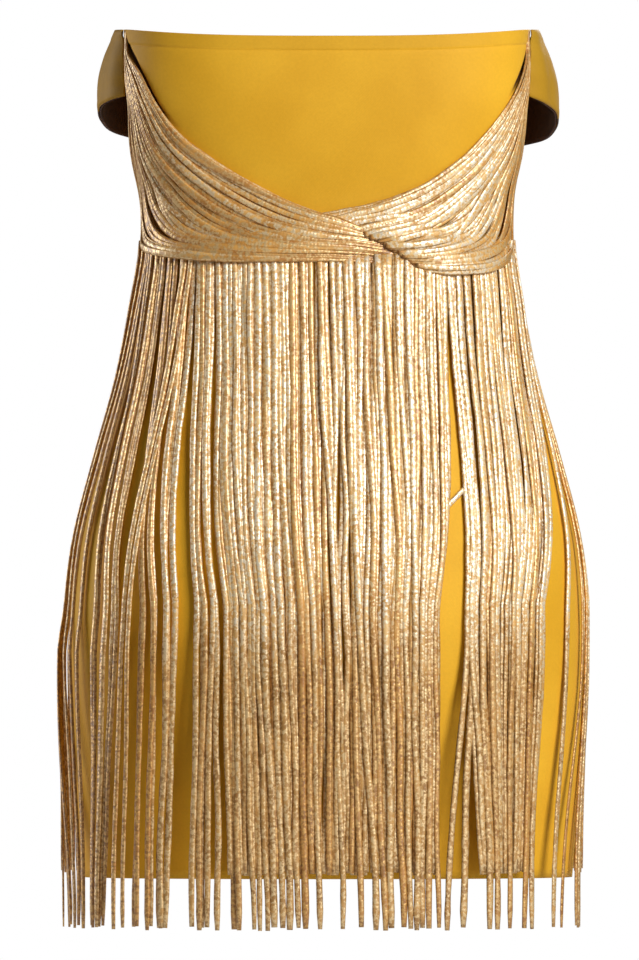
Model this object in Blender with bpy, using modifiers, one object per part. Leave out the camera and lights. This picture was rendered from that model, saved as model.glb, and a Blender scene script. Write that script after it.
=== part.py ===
"""Fringed off-shoulder mini dress, worn and hollow, at its real size.

The dress hangs from its neckline: the origin is the middle of the neck opening, +Z is up, and the
side with the twisted swags faces -Y. A place on the dress is a turn round the body in degrees (0 is
the middle of the swag side, 90 the side seam on +X, 180 the middle of the plain side), a level in
metres below the neckline, and a lift, the distance out from the cloth of the sheath.
"""

import math
from collections import namedtuple

import bmesh
import bpy
from mathutils import Vector

COLLECTION = "fringed_dress"

HEM_LEVEL = -0.635
LONG_END = -0.673
SHORT_END = -0.631
NECK_DIP = 0.0058
SHEATH_WALL = 0.0015
SEAM_GAP = 0.0003
PANEL_COLUMNS = 22
SHARP_ANGLE = 40.0

# The sheath's rings. Squareness is the power of the oval: 2 is an ellipse, 3 has fuller corners.
Section = namedtuple("Section", "level half_width back front back_square front_square")
SHEATH = (
    Section(0.000, 0.1520, 0.088, 0.104, 3.0, 2.3),
    Section(-0.050, 0.1500, 0.091, 0.121, 2.9, 2.2),
    Section(-0.090, 0.1450, 0.090, 0.114, 2.6, 2.2),
    Section(-0.125, 0.1375, 0.087, 0.100, 2.4, 2.2),
    Section(-0.165, 0.1372, 0.089, 0.094, 2.3, 2.2),
    Section(-0.205, 0.1425, 0.096, 0.097, 2.3, 2.2),
    Section(-0.260, 0.1535, 0.111, 0.105, 2.3, 2.2),
    Section(-0.320, 0.1705, 0.128, 0.112, 2.3, 2.2),
    Section(-0.380, 0.1860, 0.140, 0.116, 2.3, 2.2),
    Section(-0.430, 0.1920, 0.144, 0.117, 2.3, 2.2),
    Section(-0.480, 0.1930, 0.140, 0.116, 2.3, 2.2),
    Section(-0.540, 0.1910, 0.130, 0.112, 2.3, 2.2),
    Section(HEM_LEVEL, 0.1840, 0.117, 0.106, 2.3, 2.2),
)
UPPER_ROWS = (0.0, -0.025, -0.050, -0.075, -0.100, -0.125, -0.150, -0.175)
SKIRT_ROWS = (-0.205, -0.260, -0.320, -0.380, -0.430)
HEM_ROWS = (-0.480, -0.540, -0.590, HEM_LEVEL)

# A cap sleeve is a strap of cloth round the arm, sewn to the sheath at its first and last row.
Cap = namedtuple("Cap", "turn top_lift hem_lift top_level hem_level")
CAP_SLEEVE = (
    Cap(84.0, 0.0006, 0.0006, 0.000, -0.050),
    Cap(88.0, 0.0040, 0.0110, 0.000, -0.0525),
    Cap(94.0, 0.0060, 0.0200, 0.000, -0.0565),
    Cap(102.0, 0.0090, 0.0255, -0.001, -0.0620),
    Cap(110.0, 0.0150, 0.0310, -0.002, -0.0680),
    Cap(118.0, 0.0240, 0.0360, -0.004, -0.0745),
    Cap(126.0, 0.0310, 0.0380, -0.006, -0.0790),
    Cap(133.0, 0.0240, 0.0280, -0.007, -0.0840),
    Cap(137.0, 0.0130, 0.0150, -0.0075, -0.0860),
    Cap(140.0, 0.0006, 0.0006, -0.008, -0.0880),
)
CAP_ROWS = 5
CAP_WALL = 0.0015
LINING_WALL = 0.0010
# The hollow inside a sleeve lies this share of the way out to it.
ARM_SHARE = 0.7

# The swags' guides: the upper edge, a strand halfway and the outer edge, from the neck corner to the twist.
Guide = namedtuple("Guide", "upper_turn upper_level middle_turn middle_level outer_turn outer_level")
LEFT_SWAG = (
    Guide(-74, -0.011, -77, -0.011, -80, -0.011),
    Guide(-66, -0.036, -75, -0.040, -80, -0.042),
    Guide(-56, -0.061, -72, -0.075, -81, -0.074),
    Guide(-43, -0.088, -65, -0.105, -89, -0.104),
    Guide(-29, -0.108, -54, -0.126, -95, -0.132),
    Guide(-14, -0.127, -37, -0.144, -84, -0.153),
    Guide(1, -0.143, -17, -0.157, -54, -0.163),
    Guide(14, -0.160, 2, -0.165, -20, -0.168),
)
RIGHT_SWAG = (
    Guide(77, -0.011, 79, -0.011, 81, -0.011),
    Guide(73, -0.036, 77, -0.040, 80, -0.042),
    Guide(58, -0.069, 73, -0.075, 81, -0.074),
    Guide(43, -0.093, 65, -0.106, 90, -0.104),
    Guide(30, -0.110, 55, -0.129, 95, -0.132),
    Guide(15, -0.126, 38, -0.146, 84, -0.153),
    Guide(-2, -0.141, 16, -0.158, 54, -0.163),
    Guide(-16, -0.158, -4, -0.164, 14, -0.168),
)
SWAG_STATIONS = 20
SWAG_RIBS = 8
SWAG_LIFT = 0.0016
SWAG_EDGE_THICK = 0.0014
SWAG_CROWN = 0.0014
RIB_RISE = 0.0010
TWIST_RISE = 0.0048
TWIST_FULL_TURN = 18.0
TWIST_START_TURN = 38.0

# The fringe hangs from narrow tapes sewn round the waist. Turns are given at the tape, the seat and the end.
# Its long locks end below the hem, and its short ones just above the hem.
TAPE_TOP = -0.1705
TAPE_BOTTOM = -0.1755
TAPE_WALL = 0.0015
STRAND_WIDTH = 0.0033
STRAND_DEPTH = 0.0024
ROOT_WIDTH = 0.0026
SEAT_LEVEL = SKIRT_ROWS[-1]
UNDER_LIFT = 0.0025
TAPE_LIFT = 0.0008
TAPE_STEP = 0.0008
OVER_LIFT = 0.0068
# The ends are uneven: each ends up to this much above or below the next, in a beat of this many radians.
END_STAGGER = 0.0030
STAGGER_BEAT = 2.4

Lock = namedtuple("Lock", "strands root_from root_to seat_from seat_to end_from end_to end_level")
UNDER_LOCKS = (
    Lock(6, -96, -75, -98, -74, -98, -76, LONG_END),
    Lock(9, -70, -54, -57, -36, -65, -34, LONG_END),
    Lock(8, -51, -41, -29, -16, -28, -16, LONG_END),
    Lock(32, -39, 36, -14, 21.5, -13, 20.5, SHORT_END),
    Lock(2, 38, 40, 24.5, 27, 23.5, 27.5, LONG_END),
    Lock(7, 43, 58, 30, 47, 34, 46.5, SHORT_END),
    Lock(3, 62, 70, 52, 60, 55, 62, LONG_END),
    Lock(6, 75, 96, 74, 98, 73, 98, LONG_END),
)
OVER_LOCKS = (
    Lock(5, -60, -50, -50, -36, -51, -36, LONG_END),
    Lock(3, -46, -42, -28, -20, -28, -22, LONG_END),
    Lock(8, -34, -14, -12, -3.5, -13, -3, LONG_END),
    Lock(3, -9, 3, -1.5, 5, -1, 5.5, LONG_END),
    Lock(3, 8, 16, 7.5, 11, 8.5, 11.5, LONG_END),
    Lock(6, 19, 33, 13, 20, 13.5, 20, LONG_END),
    Lock(4, 44, 56, 34, 45, 36.5, 47, LONG_END),
)
PLAIN_SIDE_LOCKS = (
    Lock(12, 100, 128, 102, 128, 102, 127, SHORT_END),
    Lock(32, 133, 227, 133, 227, 134, 226, SHORT_END),
    Lock(12, 232, 260, 232, 258, 233, 258, SHORT_END),
)

Colour = namedtuple("Colour", "red green blue roughness metallic")
GOLDEN_KNIT = Colour(0.74, 0.40, 0.025, 0.62, 0.0)
DARK_LINING = Colour(0.030, 0.008, 0.002, 0.80, 0.0)
METALLIC_CHAINETTE = Colour(0.58, 0.42, 0.20, 0.38, 0.6)


def clear_scene():
    """Start from an empty scene."""
    for thing in list(bpy.data.objects):
        bpy.data.objects.remove(thing, do_unlink=True)


def make_material(name, colour):
    """A plain material of one colour."""
    material = bpy.data.materials.new(name)
    material.use_nodes = True
    shader = material.node_tree.nodes["Principled BSDF"]
    shader.inputs["Base Color"].default_value = (colour.red, colour.green, colour.blue, 1.0)
    shader.inputs["Roughness"].default_value = colour.roughness
    shader.inputs["Metallic"].default_value = colour.metallic
    material.diffuse_color = (colour.red, colour.green, colour.blue, 1.0)
    return material


def add_part(name, shape, colour, collection):
    """Turn a bmesh into a named object with its own material."""
    mesh = bpy.data.meshes.new(name)
    shape.to_mesh(mesh)
    shape.free()
    mesh.shade_smooth()
    mesh.set_sharp_from_angle(angle=math.radians(SHARP_ANGLE))
    part = bpy.data.objects.new(name, mesh)
    part.data.materials.append(make_material(name + "_finish", colour))
    collection.objects.link(part)
    return part


def add_bundle(name, shape, collection):
    """A named bundle of strands made from a closed surface."""
    bmesh.ops.recalc_face_normals(shape, faces=shape.faces)
    return add_part(name, shape, METALLIC_CHAINETTE, collection)


def smooth_table(rows, place):
    """Read a table of equal steps at any place from 0 to its last row, on a smooth curve through the rows."""
    last = len(rows) - 1
    start = min(int(place), last - 1)
    part = place - start
    before, here, there, after = (rows[min(max(start + step, 0), last)] for step in (-1, 0, 1, 2))
    values = []
    for p0, p1, p2, p3 in zip(before, here, there, after):
        bend = 2 * p1 + (p2 - p0) * part
        bend += (2 * p0 - 5 * p1 + 4 * p2 - p3) * part**2
        bend += (3 * p1 - p0 - 3 * p2 + p3) * part**3
        values.append(bend / 2)
    return values


def ring_at(level):
    """The half width, depths and squareness of the body's ring at a level, on smooth curves."""
    level = min(max(level, HEM_LEVEL), 0.0)
    start = 0
    while start < len(SHEATH) - 2 and level < SHEATH[start + 1].level:
        start += 1
    upper, lower = SHEATH[start], SHEATH[start + 1]
    step = lower.level - upper.level
    part = (level - upper.level) / step
    ring = []
    for column in range(1, len(Section._fields)):
        leaving = slope_at(start, column) * step
        arriving = slope_at(start + 1, column) * step
        value = (2 * part**3 - 3 * part**2 + 1) * upper[column]
        value += (part**3 - 2 * part**2 + part) * leaving
        value += (3 * part**2 - 2 * part**3) * lower[column]
        value += (part**3 - part**2) * arriving
        ring.append(value)
    return ring


def slope_at(row, column):
    """How fast one column of the sheath's table changes with level at a row."""
    above = SHEATH[max(row - 1, 0)]
    below = SHEATH[min(row + 1, len(SHEATH) - 1)]
    return (below[column] - above[column]) / (below.level - above.level)


def on_ring(ring, turn, level, lift):
    """A point at a turn round a ring, moved out level by the lift, and the outward direction there."""
    half_width, back, front, back_square, front_square = ring
    sine, cosine = math.sin(math.radians(turn)), math.cos(math.radians(turn))
    depth, square = (back, back_square) if cosine >= 0 else (front, front_square)
    across = math.copysign(abs(sine) ** (2 / square), sine)
    deep = -math.copysign(abs(cosine) ** (2 / square), cosine)
    outward = Vector((
        math.copysign(abs(across) ** (square - 1), across) / half_width,
        math.copysign(abs(deep) ** (square - 1), deep) / depth,
        0.0,
    )).normalized()
    place = Vector((half_width * across, depth * deep, level)) + outward * lift
    return place, outward


def on_body(turn, level, lift=0.0):
    """A point on the sheath's outer face, moved out by the lift."""
    return on_ring(ring_at(level), turn, level, lift)[0]


def hanging_ring(level):
    """The ring that a free strand hangs round: it never draws in below the widest ring above it."""
    rings = [ring_at(row) for row in SKIRT_ROWS if row > level] + [ring_at(max(level, SEAT_LEVEL))]
    half_widths, backs, fronts, back_squares, front_squares = zip(*rings)
    return [max(half_widths), max(backs), max(fronts), back_squares[-1], front_squares[-1]]


def neck_level(turn):
    """The neckline dips a little in the middle of each side."""
    return -NECK_DIP * math.cos(math.radians(turn)) ** 2


def laid_grid(columns, rows, place):
    """A grid of faces laid where place(column, row) says."""
    shape = bmesh.new()
    bmesh.ops.create_grid(shape, x_segments=columns, y_segments=rows, size=0.5)
    for point in shape.verts:
        column = round((point.co.x + 0.5) * columns)
        row = round((0.5 - point.co.y) * rows)
        point.co = place(column, row)
    return shape


def face_outwards(shape, centre):
    """Turn the faces of an open sheet away from a point inside it."""
    shape.normal_update()
    away = sum(face.normal.dot(face.calc_center_median() - centre) for face in shape.faces)
    if away < 0:
        bmesh.ops.reverse_faces(shape, faces=shape.faces)


def add_sheet(name, shape, centre, thickness, colour, collection):
    """A named wall of cloth: an open sheet, thickened inwards."""
    face_outwards(shape, centre)
    part = add_part(name, shape, colour, collection)
    wall = part.modifiers.new("cloth", "SOLIDIFY")
    wall.thickness = thickness
    wall.offset = -1.0
    wall.use_even_offset = True
    return part


def make_panel(name, first_turn, collection):
    """Half of the sheath, from one side seam to the other."""
    rows = UPPER_ROWS + SKIRT_ROWS + HEM_ROWS
    side = math.copysign(1.0, -math.cos(math.radians(first_turn + 90)))

    def place(column, row):
        turn = first_turn + 180 * column / PANEL_COLUMNS
        level = rows[row] if row else neck_level(turn)
        point = on_body(turn, level)
        point.y = side * max(side * point.y, SEAM_GAP / 2)
        return point

    shape = laid_grid(PANEL_COLUMNS, len(rows) - 1, place)
    return add_sheet(name, shape, Vector((0, 0, HEM_LEVEL / 2)), SHEATH_WALL, GOLDEN_KNIT, collection)


def cap_point(column, share, side):
    """A point of a cap sleeve's outer face, a share of the way from its top edge to its hem."""
    cap = CAP_SLEEVE[column]
    level = cap.top_level + (cap.hem_level - cap.top_level) * share
    lift = cap.top_lift + (cap.hem_lift - cap.top_lift) * share
    point = on_body(cap.turn, level, lift + CAP_WALL)
    point.x *= side
    return point


def below_cap(column, share, side, depth):
    """A point below the cap sleeve's outer face, measured square to the cloth."""
    before, after = max(column - 1, 0), min(column + 1, len(CAP_SLEEVE) - 1)
    round_arm = cap_point(after, share, side) - cap_point(before, share, side)
    down = cap_point(column, 1.0, side) - cap_point(column, 0.0, side)
    square = down.cross(round_arm).normalized() * side
    return cap_point(column, share, side) - square * depth


def make_cap_sleeve(name, side, columns, depth, thickness, colour, collection):
    """One cap sleeve, or its lining, over the given columns of the table."""

    def place(column, row):
        return below_cap(columns[column], row / CAP_ROWS, side, depth)

    shape = laid_grid(len(columns) - 1, CAP_ROWS, place)
    arm = cap_point(len(CAP_SLEEVE) // 2, 0.5, side) * ARM_SHARE
    return add_sheet(name, shape, arm, thickness, colour, collection)


def twist_lift(turn):
    """How far the right swag stands off to pass over the left one."""
    part = (TWIST_START_TURN - turn) / (TWIST_START_TURN - TWIST_FULL_TURN)
    part = min(max(part, 0.0), 1.0)
    return TWIST_RISE * part * part * (3 - 2 * part)


def swag_place(guides, across, along):
    """The turn and level of a point of a swag: across from upper to outer edge, along from neck to twist."""
    guide = Guide(*smooth_table(guides, along * (len(guides) - 1)))
    edges = (
        (guide.upper_turn, guide.upper_level),
        (guide.middle_turn, guide.middle_level),
        (guide.outer_turn, guide.outer_level),
    )
    return smooth_table(edges, across * 2)


def make_swag(name, guides, passes_over, collection):
    """A bundle of strands as one wall, its ribs raised on the outer face over a plain inside."""
    columns = 2 * SWAG_RIBS

    def place(column, row, outside=False):
        turn, level = swag_place(guides, column / columns, row / SWAG_STATIONS)
        lift = SWAG_LIFT + (twist_lift(turn) if passes_over else 0.0)
        if outside:
            lift += SWAG_EDGE_THICK + SWAG_CROWN * math.sin(math.pi * column / columns)
            lift += RIB_RISE * (column % 2)
        return on_body(turn, level, lift)

    shape = laid_grid(columns, SWAG_STATIONS, place)
    grid = [(column, row) for column in range(columns + 1) for row in range(SWAG_STATIONS + 1)]
    outer_points = {place(*spot).freeze(): place(*spot, outside=True) for spot in grid}
    raised = bmesh.ops.extrude_face_region(shape, geom=shape.faces[:])
    for item in raised["geom"]:
        if isinstance(item, bmesh.types.BMVert):
            item.co = outer_points[item.co.copy().freeze()]
    return add_bundle(name, shape, collection)


def spread(first, last, count):
    """Even steps from first to last."""
    return [first + (last - first) * step / (count - 1) for step in range(count)]


def strands_of(locks):
    """The turn of each strand at the tape, the seat and the end, and the level it ends at."""
    strands = []
    for lock in locks:
        roots = spread(lock.root_from, lock.root_to, lock.strands)
        seats = spread(lock.seat_from, lock.seat_to, lock.strands)
        ends = spread(lock.end_from, lock.end_to, lock.strands)
        strands += zip(roots, seats, ends, [lock.end_level] * lock.strands)
    return strands


def strand_ring(shape, ring, turn, level, lift, width, depth):
    """The three corners of a strand: two towards the cloth and a ridge outside."""
    middle, outward = on_ring(ring, turn, level, lift)
    sideways = Vector((-outward.y, outward.x, 0.0)) * width / 2
    corners = (middle - sideways, middle + sideways, middle + outward * depth)
    return [shape.verts.new(corner) for corner in corners]


def bridge(shape, upper, lower):
    """Faces between two rings of corners."""
    for here, there in zip(range(len(upper)), [*range(1, len(upper)), 0]):
        shape.faces.new((upper[here], upper[there], lower[there], lower[here]))


def make_fringe(name, locks, tape_lift, strand_lift, collection):
    """Strands that hang from one narrow tape, fused to it at their roots."""
    shape = bmesh.new()
    bottom_ring, top_ring = ring_at(TAPE_BOTTOM), ring_at(TAPE_TOP)
    roots, inner_tops, outer_tops = [], [], []
    for count, (root, seat, end, end_level) in enumerate(strands_of(locks)):
        corners = strand_ring(shape, bottom_ring, root, TAPE_BOTTOM, tape_lift, ROOT_WIDTH, TAPE_WALL)
        roots.append(corners)
        inner_tops.append(shape.verts.new(on_ring(top_ring, root, TAPE_TOP, tape_lift)[0]))
        outer_tops.append(shape.verts.new(on_ring(top_ring, root, TAPE_TOP, tape_lift + TAPE_WALL)[0]))
        for level in SKIRT_ROWS:
            part = (level - TAPE_BOTTOM) / (SEAT_LEVEL - TAPE_BOTTOM)
            turn = root + (seat - root) * part
            ring = hanging_ring(level)
            lower = strand_ring(shape, ring, turn, level, strand_lift, STRAND_WIDTH, STRAND_DEPTH)
            bridge(shape, corners, lower)
            corners = lower
        tip_level = end_level + END_STAGGER * math.sin(count * STAGGER_BEAT)
        ring = hanging_ring(tip_level)
        tip = strand_ring(shape, ring, end, tip_level, strand_lift, STRAND_WIDTH, STRAND_DEPTH)
        bridge(shape, corners, tip)
        shape.faces.new(tip)
    join_tape(shape, roots, inner_tops, outer_tops)
    return add_bundle(name, shape, collection)


def join_tape(shape, roots, inner_tops, outer_tops):
    """The tape's faces, from one strand's root to the next, and its two ends."""
    for (near, far, _), top in zip(roots, inner_tops):
        shape.faces.new((near, far, top))
    for here in range(len(roots) - 1):
        there = here + 1
        shape.faces.new((roots[here][1], roots[there][0], inner_tops[there], inner_tops[here]))
        shape.faces.new((roots[here][1], roots[there][0], roots[there][2], roots[here][2]))
        shape.faces.new((roots[here][2], roots[there][2], outer_tops[there], outer_tops[here]))
        shape.faces.new((inner_tops[here], inner_tops[there], outer_tops[there], outer_tops[here]))
    shape.faces.new((roots[0][0], roots[0][2], outer_tops[0], inner_tops[0]))
    shape.faces.new((roots[-1][1], roots[-1][2], outer_tops[-1], inner_tops[-1]))


def build_dress():
    """Make every sewn piece of the dress in its own collection."""
    clear_scene()
    dress = bpy.data.collections.new(COLLECTION)
    bpy.context.scene.collection.children.link(dress)
    make_panel("sheath_back", -90.0, dress)
    make_panel("sheath_front", 90.0, dress)
    sleeve_columns = range(len(CAP_SLEEVE))
    lining_columns = sleeve_columns[1:-1]
    lining_depth = CAP_WALL + SEAM_GAP
    for side, label in ((-1, "left"), (1, "right")):
        make_cap_sleeve("sleeve_" + label, side, sleeve_columns, 0.0, CAP_WALL, GOLDEN_KNIT, dress)
        lining = "sleeve_lining_" + label
        make_cap_sleeve(lining, side, lining_columns, lining_depth, LINING_WALL, DARK_LINING, dress)
    make_swag("swag_left", LEFT_SWAG, False, dress)
    make_swag("swag_right", RIGHT_SWAG, True, dress)
    under_tape = TAPE_LIFT
    over_tape = under_tape + TAPE_WALL + TAPE_STEP
    make_fringe("fringe_back_under", UNDER_LOCKS, under_tape, UNDER_LIFT, dress)
    make_fringe("fringe_back_over", OVER_LOCKS, over_tape, OVER_LIFT, dress)
    make_fringe("fringe_front", PLAIN_SIDE_LOCKS, under_tape, UNDER_LIFT, dress)


build_dress()
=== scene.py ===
# %% [markdown]
# # A fringed off-shoulder mini dress
#
# The real dress is a tight sheath of golden stretch knit. Two bundles of metallic chainette cross in a
# twist over the waist, and a long curtain of the same strands hangs from the waist to just below the hem.
# The model is made in that order: the cloth first, then the sleeves, the swags and the fringe. Everything
# sits on rings round the dress, so one small table of sizes drives every piece.

# %% Load the fixed frame
import math
import random

import bmesh
import bpy
import numpy as np
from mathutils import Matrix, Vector


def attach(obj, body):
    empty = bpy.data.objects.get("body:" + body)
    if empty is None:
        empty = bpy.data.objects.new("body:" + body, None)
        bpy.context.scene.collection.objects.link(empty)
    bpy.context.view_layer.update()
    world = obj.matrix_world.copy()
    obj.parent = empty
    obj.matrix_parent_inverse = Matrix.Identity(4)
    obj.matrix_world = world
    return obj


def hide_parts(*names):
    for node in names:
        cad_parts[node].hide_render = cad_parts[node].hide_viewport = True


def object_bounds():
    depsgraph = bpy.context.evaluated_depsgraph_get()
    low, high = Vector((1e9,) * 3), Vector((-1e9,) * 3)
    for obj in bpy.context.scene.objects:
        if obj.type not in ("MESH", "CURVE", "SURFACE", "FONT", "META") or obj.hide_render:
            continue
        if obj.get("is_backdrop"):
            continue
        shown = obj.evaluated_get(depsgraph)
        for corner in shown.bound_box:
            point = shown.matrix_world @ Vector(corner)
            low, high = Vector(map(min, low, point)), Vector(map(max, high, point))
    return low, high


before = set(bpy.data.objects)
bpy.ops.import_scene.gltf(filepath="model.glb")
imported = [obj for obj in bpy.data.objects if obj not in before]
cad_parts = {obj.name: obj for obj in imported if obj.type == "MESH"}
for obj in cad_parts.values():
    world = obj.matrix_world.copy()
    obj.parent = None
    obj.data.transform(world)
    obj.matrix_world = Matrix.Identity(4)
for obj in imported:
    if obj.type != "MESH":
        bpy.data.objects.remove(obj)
cad_low, cad_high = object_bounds()
print("frame:", sorted(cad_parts))

# %% [markdown]
# ## Camera
#
# The photograph was taken from straight in front and from far away, so its lines are almost parallel. A
# long lens does the same here. The picture is 960 pixels tall, and a pixel is three quarters of a
# millimetre on the dress, so the lens is worked out from those two numbers and the distance.

# %% The camera
PIXEL = 0.00075
PICTURE_HEIGHT = 960 * PIXEL
CAMERA_DISTANCE = 18.0
SENSOR = 36.0
MIDDLE_X = -7.5 * PIXEL
MIDDLE_Z = -450 * PIXEL


def place_camera():
    """A long lens, level with the middle of the dress."""
    lens = bpy.data.cameras.new("camera")
    lens.sensor_width = SENSOR
    lens.lens = SENSOR * CAMERA_DISTANCE / PICTURE_HEIGHT
    lens.clip_end = 60.0
    camera = bpy.data.objects.new("camera", lens)
    camera.location = (MIDDLE_X, -CAMERA_DISTANCE, MIDDLE_Z)
    camera.rotation_euler = (math.radians(90), 0, 0)
    bpy.context.scene.collection.objects.link(camera)
    bpy.context.scene.camera = camera
    return camera


camera = place_camera()
print("lens", round(camera.data.lens), "mm")

# %% [markdown]
# ## Light and floor
#
# A large soft lamp stands in front on the right, where the photograph's light comes from. A second one
# catches the left edge from the side, and a third lights the plain side from behind. The floor is grey and
# the world is weak, so both add very little and the strands keep their shadows. The world is pure white
# only where the camera looks straight at it, as on the photograph's paper-white ground.

# %% Lamps, world and floor
FLOOR_LEVEL = -0.95
FLOOR_SIZE = 3.6
FLOOR_COLOUR = (0.66, 0.65, 0.63, 1.0)
LAMPS = (
    # name, place, size, power in watts
    ("key_lamp", (1.72, -2.42, 1.05), 1.2, 117.0),
    ("side_lamp", (-2.5, 1.2, 0.3), 1.5, 42.0),
    ("back_lamp", (0.6, 3.0, 1.3), 1.8, 80.0),
)
LAMP_TARGET = Vector((0.0, 0.0, -0.3))
WORLD_LIGHT = 0.05


def light_the_studio():
    """Three soft lamps that the camera doesn't see."""
    for name, place, size, power in LAMPS:
        light = bpy.data.lights.new(name, "AREA")
        light.size = size
        light.energy = power
        holder = bpy.data.objects.new(name, light)
        holder.location = place
        aim = LAMP_TARGET - Vector(place)
        holder.rotation_euler = aim.to_track_quat("-Z", "Y").to_euler()
        holder.visible_camera = False
        bpy.context.scene.collection.objects.link(holder)


def pale_world():
    """White to look at, and weak as a light."""
    world = bpy.data.worlds.new("studio")
    world.use_nodes = True
    nodes, links = world.node_tree.nodes, world.node_tree.links
    ground = nodes["Background"]
    ground.inputs["Color"].default_value = (1.0, 1.0, 1.0, 1.0)
    path = nodes.new("ShaderNodeLightPath")
    amount = nodes.new("ShaderNodeMapRange")
    amount.inputs["To Min"].default_value = WORLD_LIGHT
    amount.inputs["To Max"].default_value = 1.0
    links.new(path.outputs["Is Camera Ray"], amount.inputs["Value"])
    links.new(amount.outputs["Result"], ground.inputs["Strength"])
    bpy.context.scene.world = world


def pale_floor():
    """A plain floor under the dress, below the picture's edge."""
    bpy.ops.mesh.primitive_plane_add(size=FLOOR_SIZE, location=(0, 0, FLOOR_LEVEL))
    floor = bpy.context.object
    floor.name = "floor"
    paint = bpy.data.materials.new("pale_floor")
    paint.use_nodes = True
    shader = paint.node_tree.nodes["Principled BSDF"]
    shader.inputs["Base Color"].default_value = FLOOR_COLOUR
    shader.inputs["Roughness"].default_value = 0.9
    floor.data.materials.append(paint)
    floor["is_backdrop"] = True


light_the_studio()
pale_world()
pale_floor()
bpy.context.scene.view_settings.view_transform = "Standard"
print("lamps", len(LAMPS))

# %% [markdown]
# ## The rings of the dress
#
# A worn dress is a tube whose rings change from level to level. Each ring is a squared oval: wide across,
# less deep, with its own depth for each side. The table is the dress's own pattern, the same as in the
# part's source, and a smooth curve runs through its rows.

# %% Rings from neck to hem
HEM_LEVEL = -0.635
NECK_DIP = 0.0058
RINGS = np.array([
    # level, half width, back, front, back squareness, front squareness
    (0.000, 0.1520, 0.088, 0.104, 3.0, 2.3),
    (-0.050, 0.1500, 0.091, 0.121, 2.9, 2.2),
    (-0.090, 0.1450, 0.090, 0.114, 2.6, 2.2),
    (-0.125, 0.1375, 0.087, 0.100, 2.4, 2.2),
    (-0.165, 0.1372, 0.089, 0.094, 2.3, 2.2),
    (-0.205, 0.1425, 0.096, 0.097, 2.3, 2.2),
    (-0.260, 0.1535, 0.111, 0.105, 2.3, 2.2),
    (-0.320, 0.1705, 0.128, 0.112, 2.3, 2.2),
    (-0.380, 0.1860, 0.140, 0.116, 2.3, 2.2),
    (-0.430, 0.1920, 0.144, 0.117, 2.3, 2.2),
    (-0.480, 0.1930, 0.140, 0.116, 2.3, 2.2),
    (-0.540, 0.1910, 0.130, 0.112, 2.3, 2.2),
    (HEM_LEVEL, 0.1840, 0.117, 0.106, 2.3, 2.2),
])


def row_slope(row):
    """How fast the table changes with level at a row."""
    above, below = RINGS[max(row - 1, 0)], RINGS[min(row + 1, len(RINGS) - 1)]
    return (below[1:] - above[1:]) / (below[0] - above[0])


SLOPES = [row_slope(row) for row in range(len(RINGS))]


def ring_at(level):
    """Half width, two depths and two squarenesses at a level."""
    level = min(max(level, HEM_LEVEL), 0.0)
    start = min(int(np.searchsorted(-RINGS[:, 0], -level, side="right")) - 1, len(RINGS) - 2)
    upper, lower = RINGS[start], RINGS[start + 1]
    step = lower[0] - upper[0]
    part = (level - upper[0]) / step
    ring = (2 * part**3 - 3 * part**2 + 1) * upper[1:] + (3 * part**2 - 2 * part**3) * lower[1:]
    ring += (part**3 - 2 * part**2 + part) * step * SLOPES[start]
    return ring + (part**3 - part**2) * step * SLOPES[start + 1]


def on_ring(ring, turn, level, lift):
    """The point at a turn round a ring, moved out by a lift, and the direction out of the cloth."""
    half_width, back, front, back_square, front_square = ring
    sine, cosine = math.sin(math.radians(turn)), math.cos(math.radians(turn))
    depth, square = (back, back_square) if cosine >= 0 else (front, front_square)
    across = math.copysign(abs(sine) ** (2 / square), sine)
    deep = -math.copysign(abs(cosine) ** (2 / square), cosine)
    out_x = math.copysign(abs(across) ** (square - 1), across) / half_width
    out_y = math.copysign(abs(deep) ** (square - 1), deep) / depth
    long = math.hypot(out_x, out_y)
    out_x, out_y = out_x / long, out_y / long
    place = (half_width * across + out_x * lift, depth * deep + out_y * lift, level)
    return place, (out_x, out_y, 0.0)


def on_dress(turn, level, lift=0.0):
    """A point on the worn dress."""
    return on_ring(ring_at(level), turn, level, lift)[0]


def girth(level, first=-90.0, last=90.0, steps=60):
    """The length of cloth between two turns at a level."""
    ring = ring_at(level)
    turns = [first + (last - first) * step / steps for step in range(steps + 1)]
    points = [on_ring(ring, turn, level, 0.0)[0] for turn in turns]
    return sum(math.dist(here, there) for here, there in zip(points, points[1:]))


for label, level in (("bust", -0.05), ("waist", -0.15), ("hips", -0.44)):
    print(label, round(girth(level) + girth(level, 90.0, 270.0), 3), "m round")

# %% [markdown]
# ## Finishes
#
# Each finish is a small graph of shader nodes. The helper below starts one and adds nodes by name, so that
# the recipes that follow read like a list of what the cloth is made of.

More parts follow.
